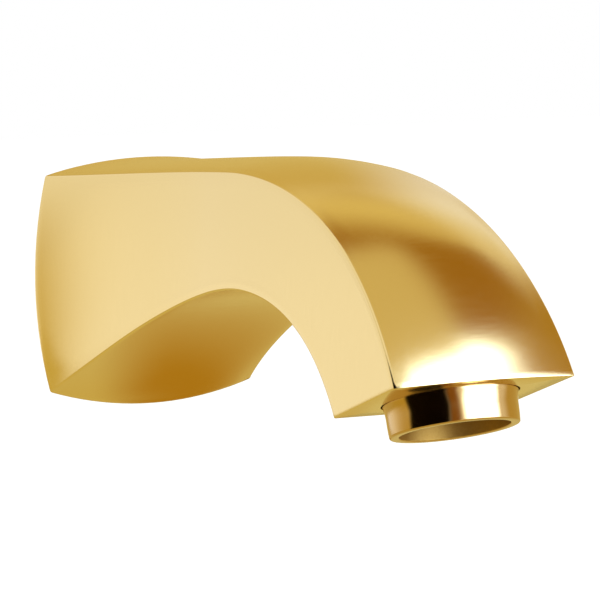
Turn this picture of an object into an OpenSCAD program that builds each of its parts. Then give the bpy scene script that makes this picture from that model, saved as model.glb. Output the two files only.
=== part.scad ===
// Wall mounted bath spout, a hollow casting with a turned ring round its outlet.
// The flange's back lies on the wall plane y = 0, the neck runs towards -Y and +Z is up.
// The origin is the middle of the inlet's mouth. Lengths are millimetres, angles are degrees.

/* [Flange] */
// Width of the flange from corner to corner
flange_w = 60; // [54:1:76]
// Height of the flange from corner to corner
flange_h = 60; // [56:1:76]
// How far each side edge of the flange bows out at its middle
side_bow = 3.7; // [0:0.1:6]
// How far the top edge of the flange bows up at its middle
top_bow = 4; // [2.7:0.1:6]
// How far the bottom edge of the flange bows down at its middle
bottom_bow = 5; // [0:0.1:8]
// Straight rim that meets the wall
rim_t = 1; // [0.5:0.1:2]
// Length over which the bows fade into the neck
flare_run = 12; // [6:1:20]

/* [Neck] */
// Distance from the wall to the neck's highest point
crest_reach = 112.5; // [100:0.5:125]
// Height of that point above the inlet's axis
crest_rise = 36.7; // [34:0.1:44]
// Distance from the wall to the top of the arch under the neck
arch_reach = 117.5; // [105:0.5:125]
// Height of the arch above the inlet's axis
arch_rise = 7.8; // [2:0.1:10]
// Distance from the wall to the neck's waist
waist_reach = 92; // [80:1:110]
// Width of the top at the waist
waist_w = 39; // [36:0.2:44]
// How much further out the underside stands on each side than the top
side_draft = 1.5; // [0:0.1:4]
// Length over which that difference grows from the wall
draft_run = 60; // [40:1:90]
// Height of the crown across the top of the neck
crown_h = 2.9; // [0:0.1:4]
// Radius of the long edges
edge_r = 0.6; // [0.4:0.1:2]

/* [Curves] */
// Angle at which the top leaves the wall
top_start_angle = 3; // [0:0.5:8]
// Angle at which the top reaches the outlet's front edge
top_end_angle = 59; // [50:0.5:66]
// Pull of the top's curve at the wall, as a share of its span
top_start_pull = 0.18; // [0.1:0.01:0.3]
// Pull of the top's curve behind the crest
top_back_pull = 0.16; // [0.1:0.01:0.4]
// Pull of the top's curve in front of the crest
top_front_pull = 0.61; // [0.45:0.01:0.7]
// Pull of the top's curve at the outlet
top_end_pull = 0.21; // [0.1:0.01:0.3]
// Angle at which the arch leaves the wall
arch_start_angle = 25.5; // [20:0.5:30]
// Angle at which the arch reaches the outlet's rear edge
arch_end_angle = 54; // [45:0.5:60]
// Pull of the arch's curve at the wall
arch_start_pull = 0.32; // [0.2:0.01:0.4]
// Pull of the arch's curve behind its top
arch_back_pull = 0.28; // [0.2:0.01:0.4]
// Pull of the arch's curve in front of its top
arch_front_pull = 0.54; // [0.4:0.01:0.6]
// Pull of the arch's curve at the outlet
arch_end_pull = 0.28; // [0.2:0.01:0.35]
// How quickly the width narrows from the wall to the waist
taper_power = 1.8; // [1.6:0.1:2.8]
// How late the width grows from the waist to the outlet
spread_power = 3.1; // [1.8:0.1:3.4]

/* [Outlet end] */
// Distance from the wall to the middle of the end face
outlet_reach = 191.6; // [184:0.2:204]
// Drop of that point below the inlet's axis
outlet_drop = 11.2; // [6:0.1:16]
// Tilt of the water's way, from straight down towards the user
outlet_tilt = 17.5; // [12:0.5:22]
// Length of the end face from its rear edge to its front edge
end_len = 36.4; // [36:0.2:40]
// Width of the end face
end_w = 45.2; // [42:0.2:52]

/* [Outlet ring] */
// Diameter of the ring where it enters the end face
ring_d = 31.6; // [30.4:0.2:32]
// Diameter of the ring at its waist
ring_waist_d = 30.6; // [29:0.2:31]
// Diameter of the ring at its lip
ring_lip_d = 30.2; // [29:0.2:32]
// Length of the ring below the end face
ring_h = 7.6; // [6:0.1:12]
// Diameter of the ring's mouth
mouth_d = 25.8; // [25:0.2:26.6]
// Depth of the mouth up to the ledge that carries the insert
mouth_depth = 6.2; // [5:0.1:9]
// Diameter of the ring's threaded sleeve
sleeve_d = 27.8; // [27:0.1:28.4]
// Length of the sleeve above the end face
sleeve_h = 9; // [8:0.1:10]
// Distance of the ring's axis behind the middle of the end face
ring_back = 1; // [0.6:0.1:1.6]
// Depth of the recess round the ring
recess_depth = 1.6; // [1:0.1:2.4]

/* [Flow insert] */
// Diameter of the hole in the ring's ledge
ledge_d = 22.4; // [20:0.2:23]
// Thickness of the ledge
ledge_t = 1; // [0.8:0.1:1.4]
// Outer diameter of the insert's cup
cup_d = 24.6; // [24:0.1:24.8]
// Wall of the cup
cup_wall = 1.2; // [1:0.1:1.4]
// Height of the straightening grid in the cup's foot
grid_h = 3; // [2:0.1:4]
// Distance between the bars of the grid
grid_pitch = 2.7; // [2.2:0.1:4]
// Thickness of the bars of the grid
grid_bar = 0.6; // [0.4:0.1:0.9]
// Height of the shoulder that carries the diffuser, above the cup's foot
shoulder_h = 5; // [4.4:0.1:5.6]
// Thickness of the diffuser disc
diffuser_t = 1.2; // [0.8:0.1:1.6]
// Diameter of the diffuser's holes
diffuser_hole_d = 1.2; // [0.8:0.1:1.4]
// Distance between the wires of the strainer
mesh_pitch = 1.8; // [1.4:0.1:2.6]
// Thickness of the strainer's wires
mesh_wire = 0.5; // [0.4:0.1:0.6]
// Thickness of the sealing washer over the insert
outlet_seal_t = 2; // [1.5:0.1:2.5]
// Hole in that washer
outlet_seal_bore = 21; // [19:0.5:22]

/* [Inlet] */
// Diameter of the boss round the inlet
boss_d = 34; // [32:1:38]
// Diameter of the bush's thread in the body
bush_d = 25.2; // [24.6:0.1:26.4]
// Diameter of the bush's own threaded bore
bush_bore = 18.6; // [18:0.1:19.2]
// Length of the bush
bush_len = 13.2; // [10:0.2:16]
// Width of the two key slots in the bush's rear face
slot_w = 3; // [2:0.2:4]
// Depth of those slots
slot_depth = 2.4; // [1.5:0.1:3]
// Thickness of the washer in front of the bush
inlet_seal_t = 2; // [1.5:0.1:2.5]
// Diameter of the way from the washer into the neck
throat_d = 18; // [15:0.5:19]

/* [Walls and fits] */
// Wall of the casting round the waterway and the rear pocket
wall = 4; // [3.4:0.1:4.6]
// Depth of the pocket in the flange's back
pocket_depth = 16; // [8:1:18]
// Thickness of the web between the pocket and the waterway
web_t = 6; // [4:0.5:8]
// Height of the flat roof over the insert's seat
seat_t = 3.4; // [2.6:0.1:4.4]
// Thickness of the foam gasket at the wall
gasket_t = 1.5; // [1:0.1:2.5]
// Width of the gasket's band
gasket_w = 5; // [3:0.5:6]
// Distance of the gasket from the flange's outline
gasket_inset = 3; // [2.6:0.1:3.6]
// Gap between a part and the bore that it screws or drops into
fit_gap = 0.1; // [0.05:0.01:0.2]
// Gap round the ring in its recess
recess_gap = 0.35; // [0.2:0.05:0.4]

/* [Hidden] */
stations = 44;
station_power = 1.35;
side_steps = 8;
corner_steps = 2;
water_stations = 18;
water_side_steps = 2;
water_corner_steps = 3;
water_corner_r = 9;
water_mouth_share = 0.8;
water_end_t = 0.87;
pocket_stations = 5;
pocket_corner_r = 5;
round_fn = 96;
hole_fn = 32;
overlap = 1;
ring_edge = 0.4;
ring_waist_share = 0.45;
ring_waist_run = 0.22;
shoulder_step = 0.5;
strainer_rim = 1;
diffuser_rings = [[3.2, 7], [6, 13], [8.8, 19]];

// The end face in side view, as distance from the wall and height
front_dir = [cos(outlet_tilt), sin(outlet_tilt)];
end_mid = [outlet_reach, -outlet_drop];
end_front = end_mid + front_dir * end_len / 2;
end_rear = end_mid - front_dir * end_len / 2;
front_start_dir = [cos(top_end_angle), -sin(top_end_angle)];
rear_start_dir = [cos(arch_end_angle), -sin(arch_end_angle)];
crest = [crest_reach, crest_rise];
arch = [arch_reach, arch_rise];

seat_depth = sleeve_h + outlet_seal_t;
recess_r = ring_d / 2 + recess_gap;
sleeve_bore_r = sleeve_d / 2 + fit_gap;
bush_bore_r = bush_d / 2 + fit_gap;
inlet_seat = bush_len + inlet_seal_t;
cup_foot = mouth_depth - ring_h + ledge_t;
cup_h = sleeve_h - cup_foot;
cup_seat_r = cup_d / 2 + fit_gap;
cup_bore_r = cup_d / 2 - cup_wall;
diffuser_r = cup_bore_r + shoulder_step - fit_gap;
strainer_h = cup_h - shoulder_h - diffuser_t;

function lerp(a, b, s) = a + (b - a) * s;

function bezier(p, t) =
    pow(1 - t, 3) * p[0] + 3 * pow(1 - t, 2) * t * p[1] + 3 * (1 - t) * t * t * p[2] + pow(t, 3) * p[3];

// Two cubic spans that meet level at a crest, t runs from 0 to 1
function two_spans(start, start_dir, start_pull, crest, back_pull, front_pull, end, end_dir, end_pull, t) =
    let(run = end.x - crest.x)
    t < 0.5
    ? bezier([start, start + start_dir * start_pull * crest.x, crest - [back_pull * crest.x, 0], crest], 2 * t)
    : bezier([crest, crest + [front_pull * run, 0], end - end_dir * end_pull * run, end], 2 * t - 1);

function top_line(t) =
    two_spans([0, flange_h / 2], [cos(top_start_angle), sin(top_start_angle)], top_start_pull,
              crest, top_back_pull, top_front_pull, end_front, front_start_dir, top_end_pull, t);

function low_line(t) =
    two_spans([0, -flange_h / 2], [cos(arch_start_angle), sin(arch_start_angle)], arch_start_pull,
              arch, arch_back_pull, arch_front_pull, end_rear, rear_start_dir, arch_end_pull, t);

// Half width of the top at a distance from the wall
function half_width(reach) =
    let(back = max(0, 1 - reach / waist_reach))
    let(front = max(0, (reach - waist_reach) / (end_front.x - waist_reach)))
    waist_w / 2 + (flange_w - waist_w) / 2 * pow(back, taper_power)
    + (end_w - waist_w) / 2 * pow(front, spread_power);

// How much of the flange's bow is left at a distance from the wall
function flare(reach) = reach < rim_t ? 1 : exp(-(reach - rim_t) / flare_run);

function draft(reach) =
    let(s = min(1, max(0, reach / draft_run)))
    side_draft * s * s * (3 - 2 * s);

function crown(reach) = crown_h + (top_bow - crown_h) * flare(reach);

// A point of the section at t: a runs from side to side and b from the underside to the top, each -1 to 1
function section_point(a, b, t, inset) =
    let(top = top_line(t), low = low_line(t))
    let(up = (top - low) / norm(top - low), s = (b + 1) / 2)
    let(spine = lerp(low + up * inset, top - up * inset, s))
    let(half = lerp(half_width(low.x) + draft(low.x), half_width(top.x), s) - inset)
    let(bow = b > 0 ? b * crown(spine.x) : b * bottom_bow * flare(spine.x))
    let(p = spine + up * bow * (1 - a * a))
    [a * (half + side_bow * flare(spine.x) * (1 - b * b)), -p.x, p.y];

// A square from -1 to 1 with round corners, walked once round from its lower right corner
function rounded_square(ra, rb, side_n, corner_n) =
    let(centre = [[1 - ra, rb - 1], [1 - ra, 1 - rb], [ra - 1, 1 - rb], [ra - 1, rb - 1]])
    [for (k = [0:3])
        let(last = centre[k] + [ra * cos(90 * k), rb * sin(90 * k)])
        let(next = centre[(k + 1) % 4] + [ra * cos(90 * k), rb * sin(90 * k)])
        each concat(
            [for (i = [0:corner_n]) centre[k] + [ra * cos(90 * (k - 1 + i / corner_n)),
                                                 rb * sin(90 * (k - 1 + i / corner_n))]],
            [for (i = [1:1:side_n - 1]) lerp(last, next, i / side_n)])];

// One closed section with its corners rounded to a radius
function section(t, inset, corner_r, side_n, corner_n, grow = 1) =
    let(half = half_width(top_line(t).x) - inset)
    let(half_h = norm(top_line(t) - low_line(t)) / 2 - inset)
    [for (p = rounded_square(min(0.9, corner_r / half), min(0.9, corner_r / half_h), side_n, corner_n))
        section_point(p.x * grow, p.y * grow, t, inset)];

// The middle of a closed ring of points
function middle(points, i = 0) =
    i == len(points) ? [0, 0, 0] : points[i] / len(points) + middle(points, i + 1);

// A closed solid through rings with the same number of points, the first ring nearest the wall
module loft(rings) {
    n = len(rings[0]);
    last = len(rings) - 1;
    hub = n * len(rings);
    walls = [for (i = [0:last - 1]) for (j = [0:n - 1])
        let(k = (j + 1) % n)
        each [[i * n + j, (i + 1) * n + k, i * n + k], [i * n + j, (i + 1) * n + j, (i + 1) * n + k]]];
    caps = [for (j = [0:n - 1])
        let(k = (j + 1) % n)
        each [[hub, j, k], [hub + 1, last * n + k, last * n + j]]];
    points = [for (r = rings) each r];
    polyhedron(points = concat(points, [middle(rings[0]), middle(rings[last])]),
               faces = concat(walls, caps), convexity = 6);
}

function moved(points, step) = [for (p = points) p + step];

// Places its children on the outlet's axis, with +Z up into the body and z = 0 on the end face
module at_outlet() {
    translate([0, -outlet_reach, -outlet_drop])
        rotate([-outlet_tilt, 0, 0])
            translate([0, ring_back, 0])
                children();
}

// A round bar or bore along the inlet's axis, from one distance behind the wall plane to another
module inlet_bar(r, from, to) {
    translate([0, -from, 0])
        rotate([90, 0, 0])
            cylinder(h = to - from, r = r, $fn = round_fn);
}

// A flat ring with its lower face at z
module washer(outer_r, inner_r, z, h) {
    translate([0, 0, z])
        difference() {
            cylinder(h = h, r = outer_r, $fn = round_fn);
            translate([0, 0, -overlap])
                cylinder(h = h + 2 * overlap, r = inner_r, $fn = round_fn);
        }
}

// Bars both ways, cut to a disc
module lattice(r, pitch, bar, z, h) {
    count = floor(r / pitch);
    intersection() {
        translate([0, 0, z])
            cylinder(h = h, r = r, $fn = round_fn);
        for (turn = [0, 90], i = [-count:count])
            rotate([0, 0, turn])
                translate([i * pitch - bar / 2, -r - overlap, z - overlap])
                    cube([bar, 2 * (r + overlap), h + 2 * overlap]);
    }
}

module outer_form() {
    loft([for (i = [0:stations])
        section(pow(i / stations, station_power), 0, edge_r, side_steps, corner_steps)]);
}

// The flange's outline drawn in from its edge, with x across and y up
function flange_outline(inset) =
    [for (p = section(0, inset, edge_r, side_steps, corner_steps)) [p.x, p.z]];

module flange_plate(inset, from, to) {
    translate([0, -from, 0])
        rotate([90, 0, 0])
            linear_extrude(height = to - from)
                polygon(flange_outline(inset));
}

// The curve's own measure at which the top line is a distance from the wall, found by halving
function t_at(reach, low = 0, high = 0.5, turns = 14) =
    turns == 0
    ? (low + high) / 2
    : let(mid = (low + high) / 2)
      top_line(mid).x < reach ? t_at(reach, mid, high, turns - 1) : t_at(reach, low, mid, turns - 1);

module rear_pocket() {
    t_end = t_at(pocket_depth);
    rings = [for (i = [0:pocket_stations])
        section(t_end * i / pocket_stations, wall, pocket_corner_r, side_steps, corner_steps)];
    loft(concat([moved(rings[0], [0, overlap, 0])], rings));
}

module waterway() {
    t_start = t_at(pocket_depth + web_t);
    loft([for (i = [0:water_stations])
        let(s = i / water_stations)
        section(lerp(t_start, water_end_t, s), wall, water_corner_r, water_side_steps, water_corner_steps,
                i == 0 ? water_mouth_share : 1)]);
}

module spout_body() {
    color([0.85, 0.7, 0.38])
        difference() {
            union() {
                difference() {
                    outer_form();
                    rear_pocket();
                    flange_plate(gasket_inset, -overlap, gasket_t);
                }
                inlet_bar(boss_d / 2, 0, pocket_depth + web_t / 2);
            }
            waterway();
            inlet_bar(bush_bore_r, -overlap, inlet_seat);
            inlet_bar(throat_d / 2, inlet_seat - overlap, pocket_depth + web_t + wall);
            at_outlet() {
                translate([0, 0, -overlap])
                    cylinder(h = recess_depth + overlap, r = recess_r, $fn = round_fn);
                cylinder(h = seat_depth, r = sleeve_bore_r, $fn = round_fn);
                cylinder(h = seat_depth + seat_t + overlap, r = outlet_seal_bore / 2, $fn = round_fn);
            }
        }
}

// Side view of the ring's wall, as radius and height
module ring_wall() {
    lip_z = -ring_h;
    waist_z = -ring_h * ring_waist_share;
    waist_run = ring_h * ring_waist_run;
    waist_bend = ring_edge / 3;
    polygon([
        [mouth_d / 2, lip_z + ring_edge],
        [mouth_d / 2 + ring_edge, lip_z],
        [ring_lip_d / 2 - ring_edge, lip_z],
        [ring_lip_d / 2, lip_z + ring_edge],
        [ring_waist_d / 2 + waist_bend, waist_z - waist_run],
        [ring_waist_d / 2, waist_z],
        [ring_waist_d / 2 + waist_bend, waist_z + waist_run],
        [ring_d / 2, 0],
        [ring_d / 2, recess_depth - fit_gap],
        [sleeve_d / 2, recess_depth - fit_gap],
        [sleeve_d / 2, sleeve_h],
        [cup_seat_r, sleeve_h],
        [cup_seat_r, cup_foot],
        [ledge_d / 2, cup_foot],
        [ledge_d / 2, cup_foot - ledge_t],
        [mouth_d / 2, cup_foot - ledge_t]]);
}

module outlet_ring() {
    color([0.88, 0.68, 0.25])
        at_outlet()
            rotate_extrude($fn = round_fn)
                ring_wall();
}

module insert_cup() {
    color([0.9, 0.9, 0.88])
        at_outlet() {
            difference() {
                washer(cup_d / 2, cup_bore_r, cup_foot, cup_h);
                translate([0, 0, cup_foot + shoulder_h])
                    cylinder(h = cup_h, r = cup_bore_r + shoulder_step, $fn = round_fn);
            }
            lattice(cup_bore_r + shoulder_step / 2, grid_pitch, grid_bar, cup_foot, grid_h);
        }
}

module diffuser_disc() {
    color([0.35, 0.5, 0.6])
        at_outlet()
            translate([0, 0, cup_foot + shoulder_h])
                difference() {
                    cylinder(h = diffuser_t, r = diffuser_r, $fn = round_fn);
                    for (ring = diffuser_rings, i = [0:ring[1] - 1])
                        rotate([0, 0, 360 * i / ring[1]])
                            translate([ring[0], 0, -overlap])
                                cylinder(h = diffuser_t + 2 * overlap, d = diffuser_hole_d, $fn = hole_fn);
                }
}

module strainer() {
    base = cup_foot + shoulder_h + diffuser_t;
    color([0.75, 0.76, 0.78])
        at_outlet() {
            washer(diffuser_r, diffuser_r - strainer_rim, base, strainer_h);
            lattice(diffuser_r - strainer_rim / 2, mesh_pitch, mesh_wire, base + strainer_h - mesh_wire, mesh_wire);
        }
}

module outlet_seal() {
    color([0.15, 0.15, 0.16])
        at_outlet()
            washer(sleeve_d / 2, outlet_seal_bore / 2, sleeve_h, outlet_seal_t);
}

module inlet_bush() {
    color([0.8, 0.65, 0.3])
        difference() {
            inlet_bar(bush_d / 2, 0, bush_len);
            inlet_bar(bush_bore / 2, -overlap, bush_len + overlap);
            translate([-bush_d, -slot_depth, -slot_w / 2])
                cube([2 * bush_d, slot_depth + overlap, slot_w]);
        }
}

module inlet_seal() {
    color([0.12, 0.12, 0.13])
        difference() {
            inlet_bar(bush_d / 2, bush_len, inlet_seat);
            inlet_bar(throat_d / 2, bush_len - overlap, inlet_seat + overlap);
        }
}

module wall_gasket() {
    color([0.2, 0.2, 0.21])
        difference() {
            flange_plate(gasket_inset + fit_gap, 0, gasket_t);
            flange_plate(gasket_inset + gasket_w, -overlap, gasket_t + overlap);
        }
}

spout_body();
outlet_ring();
insert_cup();
diffuser_disc();
strainer();
outlet_seal();
inlet_bush();
inlet_seal();
wall_gasket();
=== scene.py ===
from math import cos, exp, hypot, pi, radians, sin

import bmesh
import bpy
from mathutils import Matrix, Vector


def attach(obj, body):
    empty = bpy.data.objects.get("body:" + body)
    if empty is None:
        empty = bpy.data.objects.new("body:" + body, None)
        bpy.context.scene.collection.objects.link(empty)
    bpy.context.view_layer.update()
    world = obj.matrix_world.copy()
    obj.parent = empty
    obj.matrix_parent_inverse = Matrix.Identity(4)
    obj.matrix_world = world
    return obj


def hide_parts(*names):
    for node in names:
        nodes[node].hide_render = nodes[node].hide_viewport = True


# Wall mounted bath spout in satin gold with a polished outlet ring.
# The flange's back is the plane y = 0, the neck runs towards -Y, +Z is up.

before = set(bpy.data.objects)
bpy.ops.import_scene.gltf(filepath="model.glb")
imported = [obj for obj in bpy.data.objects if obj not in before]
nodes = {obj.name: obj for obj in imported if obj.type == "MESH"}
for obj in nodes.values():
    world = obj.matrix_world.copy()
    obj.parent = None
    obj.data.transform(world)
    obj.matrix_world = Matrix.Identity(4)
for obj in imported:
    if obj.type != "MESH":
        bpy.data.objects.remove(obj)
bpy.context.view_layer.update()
mm = 0.001
flat = 0.01 * mm                                  # what lies nearer to a plane than this lies in it


# shared helpers

def toLinear(hexColour):
    channels = [int(hexColour[i:i + 2], 16) / 255 for i in (1, 3, 5)]
    return [c / 12.92 if c <= 0.04045 else ((c + 0.055) / 1.055) ** 2.4 for c in channels] + [1]


def addNode(tree, kind, inputs=None, **settings):
    # one node with its settings, its values and its links
    node = tree.nodes.new(kind)
    for name, value in settings.items():
        setattr(node, name, value)
    for name, value in (inputs or {}).items():
        if isinstance(value, bpy.types.NodeSocket):
            tree.links.new(value, node.inputs[name])
        else:
            node.inputs[name].default_value = value
    return node


def startMaterial(name):
    material = bpy.data.materials.new(name)
    material.use_nodes = True
    material.node_tree.nodes.clear()
    return material, material.node_tree


def finishPiece(bm, name, materials, replaced, sharpAngle=32):
    # closes seams, turns the faces outwards, keeps real edges sharp and rides on the frame
    bmesh.ops.remove_doubles(bm, verts=bm.verts, dist=0.001 * mm)
    bmesh.ops.recalc_face_normals(bm, faces=bm.faces)
    for face in bm.faces:
        face.smooth = True
    for edge in bm.edges:
        edge.smooth = edge.is_manifold and edge.calc_face_angle(0) < radians(sharpAngle)
    mesh = bpy.data.meshes.new(name)
    bm.to_mesh(mesh)
    bm.free()
    piece = bpy.data.objects.new(name, mesh)
    bpy.context.scene.collection.objects.link(piece)
    for material in materials:
        mesh.materials.append(material)
    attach(piece, "root")
    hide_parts(replaced)
    return piece


# materials

noiseSpan = (0.3, 0.7)                            # where nearly all values of a noise texture lie
grainGloss = 0.06                                 # how far a grain's gloss strays to either side


def makeSatinGold():
    # gold plate over brass, brushed satin: pale and soft, hair lines across the neck and down its sides
    look = {"colour": "#E9CE8C", "roughness": 0.18, "roughSpread": 0.03, "hairWidth": 0.22, "hairLength": 9,
            "hairDepth": 0.004, "sideFrom": 0.6, "sideFull": 0.75}
    material, tree = startMaterial("satinBrushedGoldPlate")
    place = addNode(tree, "ShaderNodeTexCoord").outputs["Object"]
    hair = 1 / (look["hairWidth"] * mm)
    run = 1 / (look["hairLength"] * mm)
    across = addNode(tree, "ShaderNodeMapping", {"Vector": place, "Scale": (run, hair, hair)})
    down = addNode(tree, "ShaderNodeMapping", {"Vector": place, "Scale": (hair, hair, run)})
    fronts = addNode(tree, "ShaderNodeTexNoise", {"Vector": across.outputs[0], "Scale": 1, "Detail": 3})
    sides = addNode(tree, "ShaderNodeTexNoise", {"Vector": down.outputs[0], "Scale": 1, "Detail": 3})
    facing = addNode(tree, "ShaderNodeSeparateXYZ",
                     {"Vector": addNode(tree, "ShaderNodeNewGeometry").outputs["Normal"]})
    sideways = addNode(tree, "ShaderNodeMath", {0: facing.outputs["X"]}, operation="ABSOLUTE")
    isSide = addNode(tree, "ShaderNodeMapRange", {
        "Value": sideways.outputs[0], "From Min": look["sideFrom"], "From Max": look["sideFull"]})
    hairs = addNode(tree, "ShaderNodeMix", {"Factor": isSide.outputs[0], "A": fronts.outputs["Fac"],
                                            "B": sides.outputs["Fac"]})
    bump = addNode(tree, "ShaderNodeBump", {"Height": hairs.outputs[0], "Strength": 1,
                                            "Distance": look["hairDepth"] * mm})
    low, high = look["roughness"] - look["roughSpread"], look["roughness"] + look["roughSpread"]
    rough = addNode(tree, "ShaderNodeMapRange", {
        "Value": hairs.outputs[0], "From Min": noiseSpan[0], "From Max": noiseSpan[1],
        "To Min": low, "To Max": high})
    shader = addNode(tree, "ShaderNodeBsdfPrincipled", {
        "Base Color": toLinear(look["colour"]), "Metallic": 1, "Roughness": rough.outputs[0],
        "Normal": bump.outputs[0]})
    addNode(tree, "ShaderNodeOutputMaterial", {"Surface": shader.outputs[0]})
    return material


def makePolishedGold():
    # gold plate over turned brass, polished: a mirror with the faintest lathe lines
    look = {"colour": "#CFAA6C", "roughness": 0.12, "lineWidth": 0.25, "lineDepth": 0.0006}
    material, tree = startMaterial("polishedGoldPlate")
    place = addNode(tree, "ShaderNodeTexCoord").outputs["Object"]
    lines = addNode(tree, "ShaderNodeTexNoise", {"Vector": place, "Scale": 1 / (look["lineWidth"] * mm)})
    bump = addNode(tree, "ShaderNodeBump", {
        "Height": lines.outputs["Fac"], "Distance": look["lineDepth"] * mm})
    shader = addNode(tree, "ShaderNodeBsdfPrincipled", {
        "Base Color": toLinear(look["colour"]), "Metallic": 1, "Roughness": look["roughness"],
        "Normal": bump.outputs[0]})
    addNode(tree, "ShaderNodeOutputMaterial", {"Surface": shader.outputs[0]})
    return material


def makeGrained(name, look):
    # a surface whose colour, gloss and height follow one fine grain, with its size in millimetres
    material, tree = startMaterial(name)
    place = addNode(tree, "ShaderNodeTexCoord").outputs["Object"]
    scale = 1 / (look["grain"] * mm)
    if look.get("cells"):
        cells = addNode(tree, "ShaderNodeTexVoronoi", {"Vector": place, "Scale": scale})
        height = cells.outputs["Distance"]
    else:
        noise = addNode(tree, "ShaderNodeTexNoise", {"Vector": place, "Scale": scale, "Detail": 4})
        height = noise.outputs["Fac"]
    tone = addNode(tree, "ShaderNodeMix", {"Factor": height, "A": toLinear(look["dark"]),
                                           "B": toLinear(look["light"])}, data_type="RGBA")
    gloss = addNode(tree, "ShaderNodeMapRange", {
        "Value": height,
        "To Min": look["roughness"] - grainGloss,
        "To Max": look["roughness"] + grainGloss})
    bump = addNode(tree, "ShaderNodeBump", {"Height": height, "Distance": look["depth"] * mm})
    shader = addNode(tree, "ShaderNodeBsdfPrincipled", {
        "Base Color": tone.outputs["Result"], "Metallic": look["metallic"],
        "Roughness": gloss.outputs[0], "IOR": look.get("ior", 1.5), "Normal": bump.outputs[0]})
    addNode(tree, "ShaderNodeOutputMaterial", {"Surface": shader.outputs[0]})
    return material


satinGold = makeSatinGold()
polishedGold = makePolishedGold()
# the casting's unplated inside, sand cast: dull, brownish and grainy
castBrass = makeGrained("sandCastBrass", {
    "dark": "#7D6230", "light": "#B9935A", "metallic": 1, "roughness": 0.5, "grain": 0.8, "depth": 0.08})
# free cutting brass from the lathe: clean yellow with a fine sheen
turnedBrass = makeGrained("turnedBrass", {
    "dark": "#B08B45", "light": "#D9B467", "metallic": 1, "roughness": 0.26, "grain": 0.3, "depth": 0.004})
# gold plate on the ring's turned bore: soft, because only the outside is polished; its colours are darker
# than the plate's own gold, as painted shade inside the bore
boreGoldWithPaintedShade = makeGrained("boreGoldPlateWithPaintedShade", {
    "dark": "#926B29", "light": "#A9823C", "metallic": 1, "roughness": 0.5, "grain": 0.5, "depth": 0.01})
# moulded acetal, white: faintly waxy with a soft gloss
whiteAcetal = makeGrained("mouldedWhiteAcetal", {
    "dark": "#D8D8D2", "light": "#ECECE8", "metallic": 0, "roughness": 0.38, "grain": 0.5, "depth": 0.01,
    "ior": 1.48})
# moulded acetal, grey blue: the diffuser is marked by its colour
blueAcetal = makeGrained("mouldedBlueAcetal", {
    "dark": "#4A6678", "light": "#5F8096", "metallic": 0, "roughness": 0.4, "grain": 0.5, "depth": 0.01,
    "ior": 1.48})
# drawn stainless wire: bright grey, broken up by the weave
stainlessWire = makeGrained("stainlessWire", {
    "dark": "#9DA0A3", "light": "#CDCFD1", "metallic": 1, "roughness": 0.3, "grain": 0.4, "depth": 0.02})
# moulded nitrile rubber: near black, matt with a dusty bloom
nitrileRubber = makeGrained("mouldedNitrileRubber", {
    "dark": "#141414", "light": "#2A2A2A", "metallic": 0, "roughness": 0.62, "grain": 0.6, "depth": 0.02,
    "ior": 1.52})
# closed cell foam: charcoal, open cut cells that swallow the light
cellFoam = makeGrained("closedCellFoam", {
    "dark": "#0E0E10", "light": "#37373A", "metallic": 0, "roughness": 0.88, "grain": 0.5, "depth": 0.18,
    "cells": True})
print("materials made")


# spout body: flange, arched neck and end face in one casting

body = {
    "flangeWidth": 60, "flangeHeight": 60, "sideBow": 3.7, "topBow": 4, "bottomBow": 5,
    "bossRoom": 20,                               # the flange's rim lies further out than this
    "rim": 1, "flareRun": 12,                     # the bows fade over this length
    "waistReach": 92, "waistWidth": 39, "endWidth": 45.2, "taperPower": 1.8, "spreadPower": 3.1,
    "sideDraft": 1.5, "draftRun": 60,             # the underside stands further out than the top
    "crown": 2.9,
    "crest": (112.5, 36.7), "topAngles": (3, 59), "topPulls": (0.18, 0.16, 0.61, 0.21),
    "arch": (117.5, 7.8), "archAngles": (25.5, 54), "archPulls": (0.32, 0.28, 0.54, 0.28),
    "endMiddle": (191.6, -11.2), "endLength": 36.4, "endTilt": 17.5,
    "edgeRadius": 0.6, "rimRadius": 0.3, "endRadius": 0.2, "recessDepth": 1.6,
    "cutsAlong": 96, "cutsAcross": 20, "cutsUp": 14,
    "cutGrowth": 1.2,                             # the cuts along the neck lie closer at the flange
}
endForward = Vector((cos(radians(body["endTilt"])), sin(radians(body["endTilt"]))))
endFront = Vector(body["endMiddle"]) + endForward * body["endLength"] / 2
endRear = Vector(body["endMiddle"]) - endForward * body["endLength"] / 2
outletAxis = Vector((0, sin(radians(body["endTilt"])), cos(radians(body["endTilt"]))))
endPoint = Vector((0, -body["endMiddle"][0], body["endMiddle"][1])) * mm


def alongSpan(a, b, c, d, t):
    return a * (1 - t) ** 3 + b * 3 * (1 - t) ** 2 * t + c * 3 * (1 - t) * t * t + d * t ** 3


def neckLine(start, crest, end, angles, pulls, t):
    # side view of the neck's top or underside, as distance from the wall and height, level at its crest
    crest = Vector(crest)
    run = end.x - crest.x
    leave = Vector((cos(radians(angles[0])), sin(radians(angles[0]))))
    arrive = Vector((cos(radians(angles[1])), -sin(radians(angles[1]))))
    if t < 0.5:
        return alongSpan(start, start + leave * pulls[0] * crest.x,
                         crest - Vector((pulls[1] * crest.x, 0)), crest, 2 * t)
    return alongSpan(crest, crest + Vector((pulls[2] * run, 0)),
                     end - arrive * pulls[3] * run, end, 2 * t - 1)


def halfWidth(reach):
    back = max(0, 1 - reach / body["waistReach"])
    front = max(0, (reach - body["waistReach"]) / (endFront.x - body["waistReach"]))
    waist = body["waistWidth"]
    return (waist + (body["flangeWidth"] - waist) * back ** body["taperPower"]
            + (body["endWidth"] - waist) * front ** body["spreadPower"]) / 2


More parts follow.
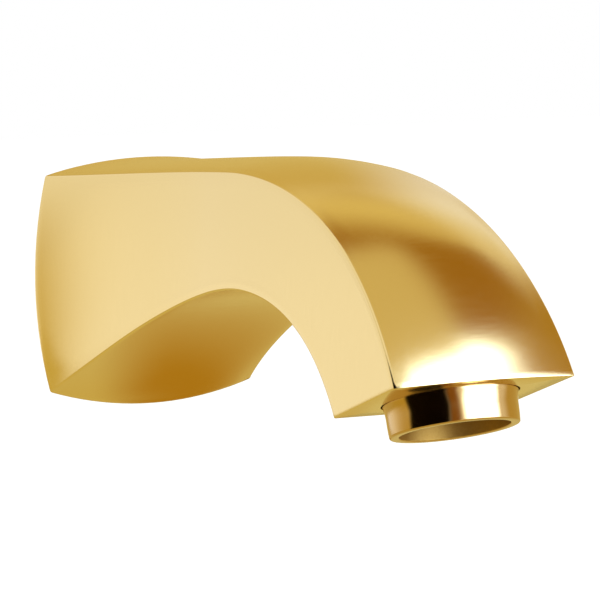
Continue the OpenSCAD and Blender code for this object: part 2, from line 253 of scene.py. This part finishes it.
def skinPoint(across, up, t):
    # across runs from side to side and up from underside to top, each -1 to 1, and t from wall to outlet
    start = Vector((0, body["flangeHeight"] / 2))
    top = neckLine(start, body["crest"], endFront, body["topAngles"], body["topPulls"], t)
    low = neckLine(-start, body["arch"], endRear, body["archAngles"], body["archPulls"], t)
    share = (up + 1) / 2
    spine = low.lerp(top, share)
    flare = 1 if spine.x < body["rim"] else exp((body["rim"] - spine.x) / body["flareRun"])
    draft = min(1, max(0, low.x / body["draftRun"]))
    lowHalf = halfWidth(low.x) + body["sideDraft"] * draft * draft * (3 - 2 * draft)
    half = lowHalf + (halfWidth(top.x) - lowHalf) * share
    crown = body["crown"] + (body["topBow"] - body["crown"]) * flare
    bow = up * (crown if up > 0 else body["bottomBow"] * flare)
    spine += (top - low).normalized() * bow * (1 - across * across)
    return Vector((across * (half + body["sideBow"] * flare * (1 - up * up)), -spine.x, spine.y)) * mm


def onEndPlane(point):
    return abs((point - endPoint).dot(outletAxis)) < flat


def castInside():
    # pocket, boss, waterway and recess come from the frame, without its outer skin and its two flat rims
    inside = bmesh.new()
    inside.from_mesh(nodes["spout_body"].data)
    bmesh.ops.remove_doubles(inside, verts=inside.verts, dist=0.002 * mm)
    rims = []
    for face in inside.faces:
        centre = face.calc_center_median()
        isOuter = hypot(centre.x, centre.z) > body["bossRoom"] * mm
        onWall = isOuter and all(abs(v.co.y) < flat for v in face.verts)
        if onWall or all(onEndPlane(v.co) for v in face.verts):
            rims.append(face)
    bmesh.ops.delete(inside, geom=rims, context="FACES")
    skin = set()
    front = [max(inside.verts, key=lambda v: v.co.x)]
    while front:
        vert = front.pop()
        if vert not in skin:
            skin.add(vert)
            front.extend(edge.other_vert(vert) for edge in vert.link_edges)
    bmesh.ops.delete(inside, geom=list(skin), context="VERTS")
    mesh = bpy.data.meshes.new("castInside")
    inside.to_mesh(mesh)
    inside.free()
    return mesh


def edgesAlong(bm, axis):
    return [e for e in bm.edges if abs((e.verts[0].co - e.verts[1].co).normalized()[axis]) > 0.99]


def makeBody():
    bm = bmesh.new()
    bmesh.ops.create_cube(bm, size=2)
    for axis, cuts in ((1, "cutsAlong"), (0, "cutsAcross"), (2, "cutsUp")):
        bmesh.ops.subdivide_edges(bm, edges=edgesAlong(bm, axis), cuts=body[cuts] - 1, use_grid_fill=True)
    caps = [f for f in bm.faces if abs(f.normal.y) > 0.99]
    bmesh.ops.delete(bm, geom=caps, context="FACES")
    longEdges = [e for e in edgesAlong(bm, 1)
                 if all(abs(v.co.x) > 0.999 and abs(v.co.z) > 0.999 for v in e.verts)]
    for vert in bm.verts:
        vert.co = skinPoint(vert.co.x, vert.co.z, ((1 - vert.co.y) / 2) ** body["cutGrowth"])
    bmesh.ops.bevel(bm, geom=longEdges, offset=body["edgeRadius"] * mm, offset_type="OFFSET",
                    affect="EDGES", segments=4, profile=0.5, material=-1)
    skinFaces = set(bm.faces)
    inside = castInside()
    bm.from_mesh(inside)
    bpy.data.meshes.remove(inside)
    recessFloor = body["recessDepth"] * mm + flat
    for face in bm.faces:
        depth = (face.calc_center_median() - endPoint).dot(outletAxis)
        face.material_index = 1 if face not in skinFaces and depth > recessFloor else 0
    rims = []
    for isRim in (lambda p: abs(p.y) < flat, onEndPlane):
        ring = [e for e in bm.edges if e.is_boundary and all(isRim(v.co) for v in e.verts)]
        rims.append(bmesh.ops.bridge_loops(bm, edges=ring)["faces"])
    for faces, radius in zip(rims, ("rimRadius", "endRadius")):
        outline = [e for f in faces for e in f.edges if any(g in skinFaces for g in e.link_faces)]
        bmesh.ops.bevel(bm, geom=outline, offset=body[radius] * mm, offset_type="OFFSET", affect="EDGES",
                        segments=2, profile=0.5, material=-1)
    return finishPiece(bm, "spoutBody", [satinGold, castBrass], "spout_body")


makeBody()
print("spout body made")


# outlet ring: a polished turned ring with a waist and a rolled lip, its sleeve screwed up into the body

ring = {
    "collarRadius": 15.8, "waistRadius": 15.3, "lipRadius": 15.1, "height": 7.6, "waistShare": 0.45,
    "back": 1, "mouthRadius": 12.9, "mouthDepth": 6.2, "sleeveRadius": 13.9, "sleeveHeight": 9,
    "shoulder": 1.5, "seatRadius": 12.4, "ledgeRadius": 11.2, "ledge": 1, "edge": 0.35,
    "boreMargin": 0.1,                            # the bore's finish ends this far outside the mouth
    "wallPoints": 14, "steps": 144,
}
outletPlace = (Matrix.Translation(endPoint) @ Matrix.Rotation(radians(-body["endTilt"]), 4, "X")
               @ Matrix.Translation((0, ring["back"] * mm, 0)))


def turnOutline(outline, steps):
    # a closed outline of radius and height in millimetres, turned once round the Z axis
    bm = bmesh.new()
    verts = [bm.verts.new((radius * mm, 0, height * mm)) for radius, height in outline]
    edges = [bm.edges.new(pair) for pair in zip(verts, verts[1:] + verts[:1])]
    bmesh.ops.spin(bm, geom=verts + edges, cent=(0, 0, 0), axis=(0, 0, 1), angle=2 * pi, steps=steps,
                   use_merge=True)
    bmesh.ops.recalc_face_normals(bm, faces=bm.faces)
    return bm


def roundEdges(bm, radius, segments=3, over=30):
    sharp = [e for e in bm.edges if e.is_manifold and e.calc_face_angle(0) > radians(over)]
    bmesh.ops.bevel(bm, geom=sharp, offset=radius * mm, offset_type="OFFSET", affect="EDGES",
                    segments=segments, profile=0.5, material=-1, clamp_overlap=True)


def ringWall():
    # the wall from lip to collar, drawn in at its waist
    low, waist = -ring["height"], -ring["height"] * ring["waistShare"]
    points = []
    for i in range(ring["wallPoints"] + 1):
        height = low * (1 - i / ring["wallPoints"])
        edge, span = (ring["lipRadius"], low - waist) if height < waist else (ring["collarRadius"], -waist)
        swell = ((height - waist) / span) ** 2
        points.append((ring["waistRadius"] + (edge - ring["waistRadius"]) * swell, height))
    return points


def makeRing():
    foot = ring["mouthDepth"] - ring["height"] + ring["ledge"]
    bm = turnOutline([
        (ring["mouthRadius"], -ring["height"]), *ringWall(),
        (ring["collarRadius"], ring["shoulder"]), (ring["sleeveRadius"], ring["shoulder"]),
        (ring["sleeveRadius"], ring["sleeveHeight"]), (ring["seatRadius"], ring["sleeveHeight"]),
        (ring["seatRadius"], foot), (ring["ledgeRadius"], foot),
        (ring["ledgeRadius"], foot - ring["ledge"]),
        (ring["mouthRadius"], foot - ring["ledge"])], ring["steps"])
    roundEdges(bm, ring["edge"])
    boreRadius = (ring["mouthRadius"] + ring["boreMargin"]) * mm
    for face in bm.faces:
        centre = face.calc_center_median()
        face.material_index = 1 if hypot(centre.x, centre.y) < boreRadius else 0
    bmesh.ops.transform(bm, matrix=outletPlace, verts=bm.verts)
    # the bore's faces take the gold that is darkened as painted shade
    return finishPiece(bm, "outletRing", [polishedGold, boreGoldWithPaintedShade], "outlet_ring", 40)


makeRing()
print("outlet ring made")


# inlet bush: turned brass with a half inch pipe thread inside and two key slots in its rear face

bush = {"radius": 12.6, "length": 13.2, "crest": 9.3, "root": 10.3, "rootRoom": 0.2, "pitch": 1.814,
        "chamfer": 0.6, "slot": 3, "slotDepth": 2.4, "steps": 96}


def makeThread(bm):
    # one pitch of the thread's outline, radius and share of the pitch, screwed along the bore and cut off
    # square at both ends
    pitch = bush["pitch"]
    outline = [(bush["root"], 0), (bush["root"], 0.14), (bush["crest"], 0.43), (bush["crest"], 0.57),
               (bush["root"], 0.86), (bush["root"], 1)]
    verts = [bm.verts.new((radius * mm, pitch * (1 - share) * mm, 0)) for radius, share in outline]
    edges = [bm.edges.new(pair) for pair in zip(verts, verts[1:])]
    turns = int(bush["length"] / pitch) + 2
    bmesh.ops.spin(bm, geom=verts + edges, cent=(0, 0, 0), axis=(0, -1, 0), angle=2 * pi * turns,
                   steps=bush["steps"] * turns, dvec=(0, -pitch * mm / bush["steps"], 0), use_merge=False)
    bmesh.ops.remove_doubles(bm, verts=bm.verts, dist=flat)
    for place, isRear in ((-bush["chamfer"], True), (bush["chamfer"] - bush["length"], False)):
        bmesh.ops.bisect_plane(bm, geom=bm.verts[:] + bm.edges[:] + bm.faces[:],
                               plane_co=(0, place * mm, 0), plane_no=(0, 1, 0),
                               clear_outer=isRear, clear_inner=not isRear)


def makeBush():
    bm = bmesh.new()
    makeThread(bm)
    inner = bush["root"] + bush["rootRoom"]
    shell = [(inner, 0), (bush["radius"], 0), (bush["radius"], -bush["length"]), (inner, -bush["length"])]
    verts = [bm.verts.new((radius * mm, y * mm, 0)) for radius, y in shell]
    edges = [bm.edges.new(pair) for pair in zip(verts, verts[1:])]
    bmesh.ops.spin(bm, geom=verts + edges, cent=(0, 0, 0), axis=(0, 1, 0), angle=2 * pi,
                   steps=bush["steps"], use_merge=True)
    for end in (0, -bush["length"]):
        rims = [e for e in bm.edges if e.is_boundary and all(abs(v.co.y - end * mm) < mm for v in e.verts)]
        bmesh.ops.bridge_loops(bm, edges=rims)
    bmesh.ops.recalc_face_normals(bm, faces=bm.faces)
    cutSlots(bm)
    return finishPiece(bm, "inletBush", [turnedBrass], "inlet_bush", 30)


def cutSlots(bm):
    # a bar across the rear face, longer than the bush is wide, takes out both key slots
    cutter = bmesh.new()
    bmesh.ops.create_cube(cutter, size=2)
    bar = (bush["radius"] * 1.2, bush["slotDepth"], bush["slot"] / 2)
    bmesh.ops.scale(cutter, vec=[half * mm for half in bar], verts=cutter.verts)
    solids = []
    for shape, name in ((bm, "bushBlank"), (cutter, "slotBar")):
        mesh = bpy.data.meshes.new(name)
        shape.to_mesh(mesh)
        solids.append(bpy.data.objects.new(name, mesh))
        bpy.context.scene.collection.objects.link(solids[-1])
    cutter.free()
    blank, slotBar = solids
    cut = blank.modifiers.new("slots", "BOOLEAN")
    cut.object, cut.operation, cut.solver = slotBar, "DIFFERENCE", "EXACT"
    made = bpy.data.meshes.new_from_object(blank.evaluated_get(bpy.context.evaluated_depsgraph_get()))
    bm.clear()
    bm.from_mesh(made)
    for spare in solids:
        bpy.data.meshes.remove(spare.data)
    bpy.data.meshes.remove(made)


makeBush()
print("inlet bush made")


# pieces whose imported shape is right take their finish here

finishes = {"insert_cup": whiteAcetal, "diffuser_disc": blueAcetal, "strainer": stainlessWire,
            "outlet_seal": nitrileRubber, "inlet_seal": nitrileRubber, "wall_gasket": cellFoam}
for name, material in finishes.items():
    nodes[name].data.materials.clear()
    nodes[name].data.materials.append(material)
print("insert, seals and gasket finished")


# stage, lights and camera

# where the photo was taken from, in degrees and millimetres: the camera looks past the target, moved to
# the right and up by the last two
view = {"azimuth": -23.458, "elevation": 5.971, "roll": -0.895, "distance": 900, "lens": 208.76,
        "target": (0, -75, 0), "right": 11.997, "up": 0.735}
studio = {                                        # lengths in metres
    "middle": (0, -0.12, 0),
    "floorHeight": -0.32, "floorSize": 12, "floorColour": "#E4E4E2", "floorGlow": 0.55,
    "fill": 0.7,                                  # the tent's light on the object
    "lampGlow": 0.9, "faceGlow": 8.5,             # what the round softbox gives matt surfaces and metal
    "faceFade": 0.38, "faceColour": "#BCD0FF",
}
# azimuth and elevation of its middle in degrees, distance, width and height in metres
softbox = (27.7, 15.5, 0.9, 1.32, 2.08)
# flags and reflectors that only the metal sees, placed in the same way, each with the share of its half
# width over which it fades out at its edges, and its colour
cards = {
    "overheadCard": (1.9, 79.2, 0.5, 0.44, 0.63, 0.45, "#E0CF98"),
    "brownFlag": (115.3, 65.5, 0.7, 1.02, 0.54, 0.35, "#A57302"),
    "bandFlag": (151.7, 50.8, 0.68, 1.35, 0.43, 1.00, "#EFDD95"),
    "cornerFlag": (74.9, 34.6, 0.66, 1.11, 0.54, 0.69, "#B58C18"),
    "edgeFlag": (-19.6, 2.6, 0.66, 0.29, 0.91, 0.65, "#976723"),
    "goldReflector": (169.5, 6.9, 0.7, 0.79, 1.71, 0.63, "#D9BF6E"),
    "lowCard": (120, -88, 0.29, 2.60, 2.20, 0.30, "#D9C77E"),
    "underFlag": (163.7, -33.5, 0.2, 0.09, 0.11, 0.79, "#B98A20"),
    "orangeCard": (108.4, -0.8, 0.7, 1.20, 1.02, 0.49, "#D7BF6C"),
    "leftCard": (-101.6, -20.6, 0.72, 1.62, 1.83, 1.00, "#D7BE5A"),
}
# a small black flag close to the ring, placed in the same way round the middle of the end face
ringFlag = (-62, 2, 0.045, 0.068, 0.05, 0.3, "#0A0400")


def direction(azimuth, elevation):
    a, e = radians(azimuth), radians(elevation)
    return Vector((sin(a) * cos(e), -cos(a) * cos(e), sin(e)))


def facing(azimuth, elevation, distance, middle=studio["middle"]):
    # the place and turn of something that looks at the middle from that side
    towards = direction(azimuth, elevation)
    place = Matrix.Translation(Vector(middle) + towards * distance)
    return place @ towards.to_track_quat("Z", "Y").to_matrix().to_4x4()


def seesBackground(tree):
    # 1 for the rays that show the white background: the camera's, and those that metal and glass send on
    path = addNode(tree, "ShaderNodeLightPath").outputs
    mirrored = addNode(tree, "ShaderNodeMath", {0: path["Is Glossy Ray"], 1: path["Is Transmission Ray"]},
                       operation="MAXIMUM")
    return addNode(tree, "ShaderNodeMath", {0: path["Is Camera Ray"], 1: mirrored.outputs[0]},
                   operation="MAXIMUM").outputs[0]


def makeStagePiece(name, bm, material):
    mesh = bpy.data.meshes.new(name)
    bm.to_mesh(mesh)
    bm.free()
    mesh.materials.append(material)
    piece = bpy.data.objects.new(name, mesh)
    bpy.context.scene.collection.objects.link(piece)
    return piece


def makeFloor():
    material, tree = startMaterial("paleStudioFloor")
    matt = addNode(tree, "ShaderNodeBsdfDiffuse", {"Color": toLinear(studio["floorColour"])})
    lift = addNode(tree, "ShaderNodeMath", {0: seesBackground(tree), 1: studio["floorGlow"]},
                   operation="MULTIPLY")
    glow = addNode(tree, "ShaderNodeEmission", {"Color": (1, 1, 1, 1), "Strength": lift.outputs[0]})
    white = addNode(tree, "ShaderNodeAddShader", {0: matt.outputs[0], 1: glow.outputs[0]})
    addNode(tree, "ShaderNodeOutputMaterial", {"Surface": white.outputs[0]})
    bm = bmesh.new()
    bmesh.ops.create_grid(bm, size=studio["floorSize"] / 2)
    bmesh.ops.translate(bm, vec=(0, 0, studio["floorHeight"]), verts=bm.verts)
    makeStagePiece("floor", bm, material)


def makeCard(name, spot, fade, colour, glow=1, isRound=False, middle=studio["middle"]):
    # lit by itself and let through towards its edges, so that it has no hard outline in the metal
    azimuth, elevation, distance, width, height = spot
    material, tree = startMaterial(name)
    place = addNode(tree, "ShaderNodeTexCoord").outputs["UV"]
    centred = addNode(tree, "ShaderNodeVectorMath", {0: place, 1: (2, 2, 0), 2: (-1, -1, 0)},
                      operation="MULTIPLY_ADD").outputs[0]
    if isRound:
        spans = [addNode(tree, "ShaderNodeVectorMath", {0: centred}, operation="LENGTH").outputs["Value"]]
    else:
        outwards = addNode(tree, "ShaderNodeVectorMath", {0: centred}, operation="ABSOLUTE").outputs[0]
        sides = addNode(tree, "ShaderNodeSeparateXYZ", {0: outwards}).outputs
        spans = [sides["X"], sides["Y"]]
    shares = [addNode(tree, "ShaderNodeMapRange", {"Value": span, "From Min": 1, "From Max": 1 - fade},
                      interpolation_type="SMOOTHSTEP").outputs[0] for span in spans]
    share = shares[0]
    if not isRound:
        share = addNode(tree, "ShaderNodeMath", {0: share, 1: shares[1]}, operation="MULTIPLY").outputs[0]
    shine = addNode(tree, "ShaderNodeEmission", {"Color": toLinear(colour), "Strength": glow})
    clear = addNode(tree, "ShaderNodeBsdfTransparent")
    mixed = addNode(tree, "ShaderNodeMixShader", {0: share, 1: clear.outputs[0], 2: shine.outputs[0]})
    addNode(tree, "ShaderNodeOutputMaterial", {"Surface": mixed.outputs[0]})
    bm = bmesh.new()
    bm.loops.layers.uv.new("UVMap")
    bmesh.ops.create_grid(bm, size=0.5, calc_uvs=True)
    bmesh.ops.scale(bm, vec=(width, height, 1), verts=bm.verts)
    bmesh.ops.transform(bm, matrix=facing(azimuth, elevation, distance, middle), verts=bm.verts)
    card = makeStagePiece(name, bm, material)
    card.visible_camera = card.visible_diffuse = card.visible_transmission = card.visible_shadow = False


def makeCards():
    for name, (*spot, fade, colour) in cards.items():
        makeCard(name, spot, fade, colour)
    *spot, fade, colour = ringFlag
    makeCard("ringFlag", spot, fade, colour, middle=endPoint)
    makeCard("softboxFace", softbox, studio["faceFade"], studio["faceColour"], studio["faceGlow"],
             isRound=True)


def makeSoftbox():
    azimuth, elevation, distance, width, height = softbox
    data = bpy.data.lights.new("softbox", "AREA")
    data.shape = "ELLIPSE"
    data.size, data.size_y = width, height
    data.energy = studio["lampGlow"] * pi * pi * width * height / 4
    lamp = bpy.data.objects.new("softbox", data)
    bpy.context.scene.collection.objects.link(lamp)
    lamp.matrix_world = facing(azimuth, elevation, distance)
    lamp.visible_glossy = False                   # the metal sees the softbox's face instead


def makeCamera():
    data = bpy.data.cameras.new("camera")
    data.lens = view["lens"]
    data.clip_start = 0.05
    camera = bpy.data.objects.new("camera", data)
    bpy.context.scene.collection.objects.link(camera)
    back = direction(view["azimuth"], view["elevation"])
    right = Vector((cos(radians(view["azimuth"])), sin(radians(view["azimuth"])), 0))
    up = back.cross(right)
    turn = radians(view["roll"])
    tiltedRight = right * cos(turn) + up * sin(turn)
    tiltedUp = up * cos(turn) - right * sin(turn)
    place = (Vector(view["target"]) + back * view["distance"]
             + tiltedRight * view["right"] + tiltedUp * view["up"])
    axes = Matrix((tiltedRight, tiltedUp, back)).transposed()
    camera.matrix_world = Matrix.Translation(place * mm) @ axes.to_4x4()
    bpy.context.scene.camera = camera


def makeWorld():
    # a white tent: plain fill on the object, and pure white where it is seen
    world = bpy.data.worlds.new("studio")
    bpy.context.scene.world = world
    world.use_nodes = True
    tree = world.node_tree
    tree.nodes.clear()
    level = addNode(tree, "ShaderNodeMapRange", {"Value": seesBackground(tree), "To Min": studio["fill"]})
    shine = addNode(tree, "ShaderNodeBackground", {"Color": (1, 1, 1, 1), "Strength": level.outputs[0]})
    addNode(tree, "ShaderNodeOutputWorld", {"Surface": shine.outputs[0]})


makeFloor()
makeCards()
makeSoftbox()
makeCamera()
makeWorld()
bpy.context.scene.view_settings.view_transform = "Standard"
print("camera and lights set")
